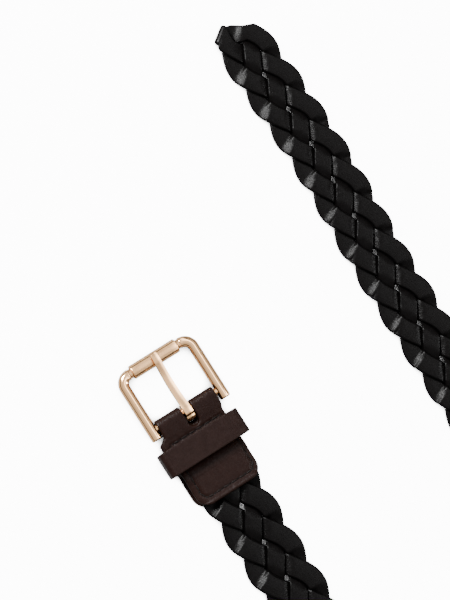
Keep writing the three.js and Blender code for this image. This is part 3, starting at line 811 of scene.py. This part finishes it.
# The roller. A thin tube 22.6 mm long, free on the turned-down side of the wire, with
# rounded rims. Its face is left plain.
roller_build = bmesh.new()
rim = 0.4
tube_radius, tube_bore, tube_half = 3.15, 2.25, 11.3
roller_profile = [(tube_bore, tube_half), (2.7, tube_half)]
for i in range(7):
    a = math.pi / 2 * (1 - i / 6)
    roller_profile.append((tube_radius - rim + rim * math.cos(a),
                           tube_half - rim + rim * math.sin(a)))
roller_profile += [(3.13, 8.0), (3.13, 0.0)]
roller_profile += [(r, -y) for r, y in roller_profile[-2::-1]]
roller_profile.append(roller_profile[0])
ring_verts = [roller_build.verts.new(belt_point(roller_x + r, y, bar_height))
              for r, y in roller_profile[:-1]]
ring_verts.append(ring_verts[0])
roller_edges = [roller_build.edges.new((a, b)) for a, b in zip(ring_verts, ring_verts[1:])]
bmesh.ops.spin(roller_build, geom=ring_verts[:-1] + roller_edges,
               cent=belt_point(roller_x, 0, bar_height), axis=(0, 1, 0), angle=2 * math.pi,
               steps=64, use_merge=True)
bmesh.ops.remove_doubles(roller_build, verts=roller_build.verts, dist=1e-7)
roller_tube = finished("roller_tube", roller_build)
roller_tube.data.materials.append(rose_gold("rose_gold_roller", 0.13, (1.0, 0.08, 1.0)))
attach(roller_tube, "roller")
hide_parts("roller")

# The prong. A strip of the same metal curled round the bar, square-edged at its root,
# narrowing a little to a rounded tip that rests over the roller.
prong_thick = 1.9
prong_seat = 2 * bar_height + 0.3
prong_top = prong_seat + prong_thick
prong_sag = 2.9
prong_width, prong_narrows, prong_length = 3.7, 0.7, 28.35
prong_rise_x = roller_x + 1.6
prong_tip_x = -25.2
eye_radius, eye_front, eye_turn = 3.0, math.radians(112), math.radians(176)


def shank(z_at_bar, z_at_roller, start_x, steps=18):
    """One face of the prong's shank, which sags between the roller and the bar."""
    line = []
    for i in range(steps + 1):
        t = i / steps
        sag = prong_sag * math.sin(math.pi * t)
        line.append((start_x + (prong_rise_x - start_x) * t,
                     z_at_bar + (z_at_roller - z_at_bar) * t - sag))
    return line


outline = [(8.0, bar_height - 1.0), (8.05, bar_height), (8.0, bar_height + 0.9),
           (7.7, bar_height + 1.7), (7.2, bar_height + 2.2), (6.55, bar_height + 2.5),
           (5.95, bar_height + 2.7), (5.9, prong_seat), (5.85, prong_seat + 0.1),
           (4.75, prong_top - 0.98), (4.6, prong_top - 0.93)]
outline += shank(prong_top - 0.95, prong_top, bar_x)
outline += [(-21.6, prong_top + 0.04), (-22.6, prong_top), (-23.8, prong_top - 0.2),
            (-24.6, prong_top - 0.5), (-25.05, prong_top - 0.85), (prong_tip_x, prong_top - 1.25),
            (-24.9, prong_top - 1.65), (-24.3, prong_seat), (-22.55, prong_seat)]
outline += shank(bar_height + eye_radius * math.sin(eye_front), prong_seat,
                 bar_x + eye_radius * math.cos(eye_front))[::-1]
for i in range(1, 25):
    a = eye_front + i * eye_turn / 24
    outline.append((bar_x + eye_radius * math.cos(a), bar_height + eye_radius * math.sin(a)))
outline += [(5.2, bar_height - 2.75), (6.3, bar_height - 2.5), (7.2, bar_height - 2.0),
            (7.75, bar_height - 1.5)]
prong_build = bmesh.new()
side_verts = [prong_build.verts.new(belt_point(x, -0.5, z)) for x, z in outline]
side = prong_build.faces.new(side_verts)
grown = bmesh.ops.extrude_face_region(prong_build, geom=[side])["geom"]
bmesh.ops.translate(prong_build, verts=[g for g in grown if isinstance(g, bmesh.types.BMVert)],
                    vec=(0, 0.001, 0))
for vertex in prong_build.verts:
    x = belt_place(vertex.co)[0]
    share = min(max((bar_x - x) / prong_length, 0), 1)
    width = prong_width - prong_narrows * share
    width *= math.sqrt(min(max((x - prong_tip_x + 0.45) / 1.7, 0), 1))
    vertex.co.y = bar.y + (vertex.co.y - bar.y) * width
bmesh.ops.recalc_face_normals(prong_build, faces=prong_build.faces)
flank = {face: abs(face.normal.y) > 0.7 for face in prong_build.faces}
rims = [e for e in prong_build.edges
        if len(e.link_faces) == 2 and flank[e.link_faces[0]] != flank[e.link_faces[1]]]
bmesh.ops.bevel(prong_build, geom=rims, offset=0.00028, segments=3, profile=0.5, affect="EDGES",
                material=-1, clamp_overlap=True)
prong_pin = finished("prong_pin", prong_build)
prong_pin.data.materials.append(rose_gold("rose_gold_prong", 0.11, (0.08, 1.0, 1.0)))
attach(prong_pin, "prong")
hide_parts("prong")
